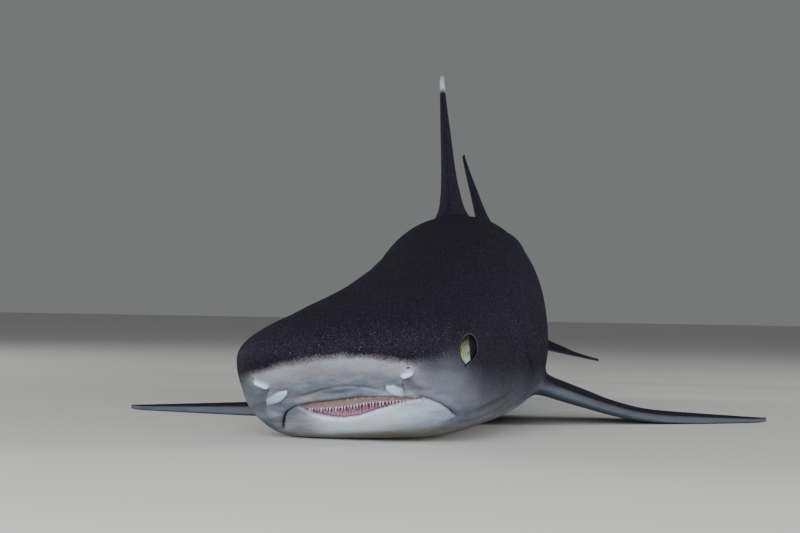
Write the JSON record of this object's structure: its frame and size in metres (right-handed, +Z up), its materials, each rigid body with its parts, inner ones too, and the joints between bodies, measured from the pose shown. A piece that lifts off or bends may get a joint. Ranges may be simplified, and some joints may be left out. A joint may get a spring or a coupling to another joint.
{
  "type": "reef shark",
  "caption": "Slender reef shark resting on its belly, with a broad blunt head, white-tipped dorsal and tail fins, and pectoral fins spread on the floor.",
  "frame": {"origin": "on the belly's resting flat, about a third of the length behind the snout", "axes": "+X forward along the trunk towards the head, +Y to the animal's left, +Z up from the floor"},
  "size_m": [1.3825, 0.5194, 0.314],
  "materials": {
    "skin": "satin",
    "jaw": "satin",
    "eye": "gloss"
  },
  "bodies": {
    "root": {"head": "skin", "lower_jaw": "jaw", "gill_region": "skin", "trunk": "skin", "tail_stock": "skin", "caudal_fin": "skin", "first_dorsal_fin": "skin", "second_dorsal_fin": "skin", "anal_fin": "skin", "left_pectoral_fin": "skin", "right_pectoral_fin": "skin", "left_pelvic_fin": "skin", "right_pelvic_fin": "skin", "left_eye": "eye", "right_eye": "eye"}
  },
  "joints": []
}
